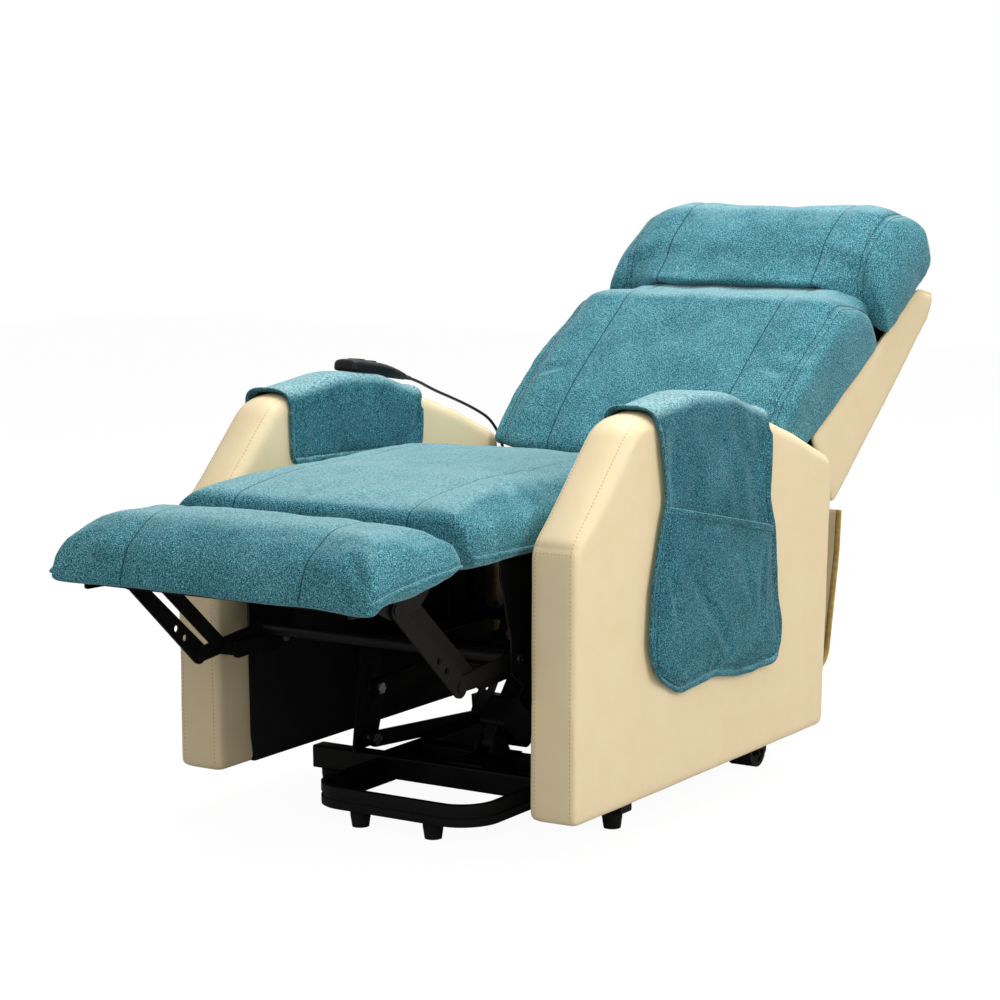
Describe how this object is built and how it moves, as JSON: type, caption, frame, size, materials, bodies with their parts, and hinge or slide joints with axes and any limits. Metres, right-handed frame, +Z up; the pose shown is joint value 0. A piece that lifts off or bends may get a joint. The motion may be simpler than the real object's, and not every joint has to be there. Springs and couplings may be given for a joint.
{
  "type": "lift recliner chair",
  "caption": "Upholstered lift recliner with a reclining back, folding footrest, tilting lift base, arm covers, side pocket and corded handset.",
  "frame": {"origin": "centre of the bounding box on the floor, in the pose of the picture: lift down, back reclined, footrest out", "axes": "+Z up, the sitter faces -Y, +X is the sitter's left"},
  "size_m": [0.7158, 1.6798, 0.8529],
  "materials": {
    "black_powder_coat": "satin",
    "grey_powder_coat": "satin",
    "zinc_steel": "satin",
    "rod_chrome": "polished",
    "motor_plastic": "matte",
    "foot_rubber": "matte",
    "wheel_rubber": "matte",
    "slide_nylon": "satin",
    "plywood": "matte",
    "teal_chenille": "matte",
    "cream_faux_leather": "satin",
    "black_cloth": "matte",
    "ochre_cloth": "matte",
    "handset_plastic": "satin",
    "key_rubber": "matte",
    "cord_rubber": "satin"
  },
  "bodies": {
    "base": {"base_front_beam": "black_powder_coat", "base_middle_beam": "black_powder_coat", "base_rear_beam": "black_powder_coat", "base_side_rails": "black_powder_coat", "front_loop": "black_powder_coat", "rubber_feet": "foot_rubber", "base_uprights": "black_powder_coat", "upright_tie_tube": "black_powder_coat", "base_pivot_bolts": "zinc_steel", "motor_bracket": "black_powder_coat", "wheel_forks": "black_powder_coat"},
    "wheel_left": {"rear_wheel_left": "wheel_rubber"},
    "wheel_right": {"rear_wheel_right": "wheel_rubber"},
    "lift_upper": {"lift_links_upper": "grey_powder_coat", "lift_torque_tube": "black_powder_coat"},
    "lift_lower": {"lift_links_lower": "grey_powder_coat"},
    "lift_motor": {"lift_motor_housing": "motor_plastic", "power_inlet": "motor_plastic"},
    "lift_ram": {"lift_rod": "rod_chrome"},
    "chassis": {"lift_brackets": "black_powder_coat", "lift_bracket_pins": "zinc_steel", "chassis_front_tube": "black_powder_coat", "chassis_rear_tube": "black_powder_coat", "side_rails": "black_powder_coat", "side_posts": "black_powder_coat", "guide_rails": "black_powder_coat", "arm_left": "cream_faux_leather", "arm_right": "cream_faux_leather", "arm_inner_panels": "black_cloth", "arm_cover_left": "teal_chenille", "cover_pocket": "teal_chenille", "arm_cover_right": "teal_chenille", "recline_motor": "motor_plastic", "handset_case": "handset_plastic", "handset_cord": "cord_rubber"},
    "key_up": {"button_up": "key_rubber"},
    "key_down": {"button_down": "key_rubber"},
    "seat": {"seat_side_plates": "black_powder_coat", "foot_pivot_studs": "zinc_steel", "back_hinge_bolts": "zinc_steel", "seat_cross_tubes": "black_powder_coat", "slide_blocks": "slide_nylon", "seat_board": "plywood", "seat_cushion": "teal_chenille", "recline_rod": "rod_chrome", "rear_skirt": "ochre_cloth"},
    "back": {"back_brackets": "black_powder_coat", "back_frame_sides": "black_powder_coat", "back_frame_crosses": "black_powder_coat", "back_shell": "cream_faux_leather", "lumbar_cushion": "teal_chenille", "head_cushion": "teal_chenille"},
    "back_link": {"back_links": "grey_powder_coat"},
    "foot_drive": {"foot_links_drive": "grey_powder_coat", "foot_drive_tube": "black_powder_coat"},
    "foot_control": {"foot_links_control": "grey_powder_coat"},
    "foot_outer": {"foot_links_outer": "grey_powder_coat"},
    "foot_inner": {"foot_links_inner": "grey_powder_coat"},
    "ottoman": {"ottoman_frame": "black_powder_coat", "ottoman_cushion": "teal_chenille"}
  },
  "joints": [
    {"name": "lift", "type": "hinge", "parent": "base", "child": "lift_upper", "pos_m": [-0.00562, -0.1897, 0.147], "axis": [1, 0, 0], "range_deg": [0, 50]},
    {"name": "lift_lower_turn", "type": "hinge", "parent": "base", "child": "lift_lower", "pos_m": [-0.00562, -0.2097, 0.072], "axis": [1, 0, 0], "range_deg": [0, 53.6]},
    {"name": "chassis_tilt", "type": "hinge", "parent": "lift_upper", "child": "chassis", "pos_m": [-0.00562, 0.1693, 0.17], "axis": [1, 0, 0], "range_deg": [-30.7, 0]},
    {"name": "motor_swing", "type": "hinge", "parent": "base", "child": "lift_motor", "pos_m": [-0.00562, -0.1697, 0.08], "axis": [1, 0, 0], "range_deg": [0, 38.2]},
    {"name": "rod_slide", "type": "slide", "parent": "lift_motor", "child": "lift_ram", "axis": [0, 0.6525, 0.7578], "range_m": [0, 0.1414]},
    {"name": "seat_slide", "type": "slide", "parent": "chassis", "child": "seat", "axis": [0, 1, 0], "range_m": [0, 0.035]},
    {"name": "back_recline", "type": "hinge", "parent": "seat", "child": "back", "pos_m": [-0.00562, 0.2793, 0.425], "axis": [1, 0, 0], "range_deg": [0, 42.1]},
    {"name": "back_link_turn", "type": "hinge", "parent": "chassis", "child": "back_link", "pos_m": [-0.00562, 0.1648, 0.325], "axis": [1, 0, 0], "range_deg": [-16.1, 0]},
    {"name": "footrest_fold", "type": "hinge", "parent": "seat", "child": "foot_drive", "pos_m": [-0.00562, -0.4367, 0.28], "axis": [1, 0, 0], "range_deg": [0, 84]},
    {"name": "foot_control_turn", "type": "hinge", "parent": "seat", "child": "foot_control", "pos_m": [-0.00562, -0.3961, 0.2625], "axis": [1, 0, 0], "range_deg": [0, 80]},
    {"name": "foot_outer_turn", "type": "hinge", "parent": "foot_drive", "child": "foot_outer", "pos_m": [-0.00562, -0.57601, 0.2661], "axis": [1, 0, 0], "range_deg": [-116.1, 0]},
    {"name": "foot_inner_turn", "type": "hinge", "parent": "foot_drive", "child": "foot_inner", "pos_m": [-0.00562, -0.53621, 0.27007], "axis": [1, 0, 0], "range_deg": [-116.1, 0]},
    {"name": "ottoman_turn", "type": "hinge", "parent": "foot_outer", "child": "ottoman", "pos_m": [-0.00562, -0.7172, 0.39323], "axis": [1, 0, 0], "range_deg": [0, 116.1]},
    {"name": "wheel_left_spin", "type": "hinge", "parent": "base", "child": "wheel_left", "pos_m": [0.23438, 0.1893, 0.025], "axis": [1, 0, 0], "continuous": true},
    {"name": "wheel_right_spin", "type": "hinge", "parent": "base", "child": "wheel_right", "pos_m": [-0.24563, 0.1893, 0.025], "axis": [1, 0, 0], "continuous": true},
    {"name": "button_up_press", "type": "slide", "parent": "chassis", "child": "key_up", "axis": [0.0052, -0.1736, -0.9848], "range_m": [0, 0.001], "stiffness_N_per_m": 250},
    {"name": "button_down_press", "type": "slide", "parent": "chassis", "child": "key_down", "axis": [0.0052, -0.1736, -0.9848], "range_m": [0, 0.001], "stiffness_N_per_m": 250}
  ],
  "couplings": [
    {"joint": "lift_lower_turn", "follows": "lift", "ratio": 1.0703},
    {"joint": "chassis_tilt", "follows": "lift", "ratio": -0.613},
    {"joint": "motor_swing", "follows": "lift", "ratio": 0.7631},
    {"joint": "rod_slide", "follows": "lift", "m_per_rad": 0.1619},
    {"joint": "back_recline", "follows": "seat_slide", "rad_per_m": 20.944},
    {"joint": "back_link_turn", "follows": "seat_slide", "rad_per_m": -8},
    {"joint": "foot_control_turn", "follows": "footrest_fold", "ratio": 0.9502},
    {"joint": "foot_outer_turn", "follows": "footrest_fold", "ratio": -1.381},
    {"joint": "foot_inner_turn", "follows": "footrest_fold", "ratio": -1.381},
    {"joint": "ottoman_turn", "follows": "footrest_fold", "ratio": 1.381}
  ]
}
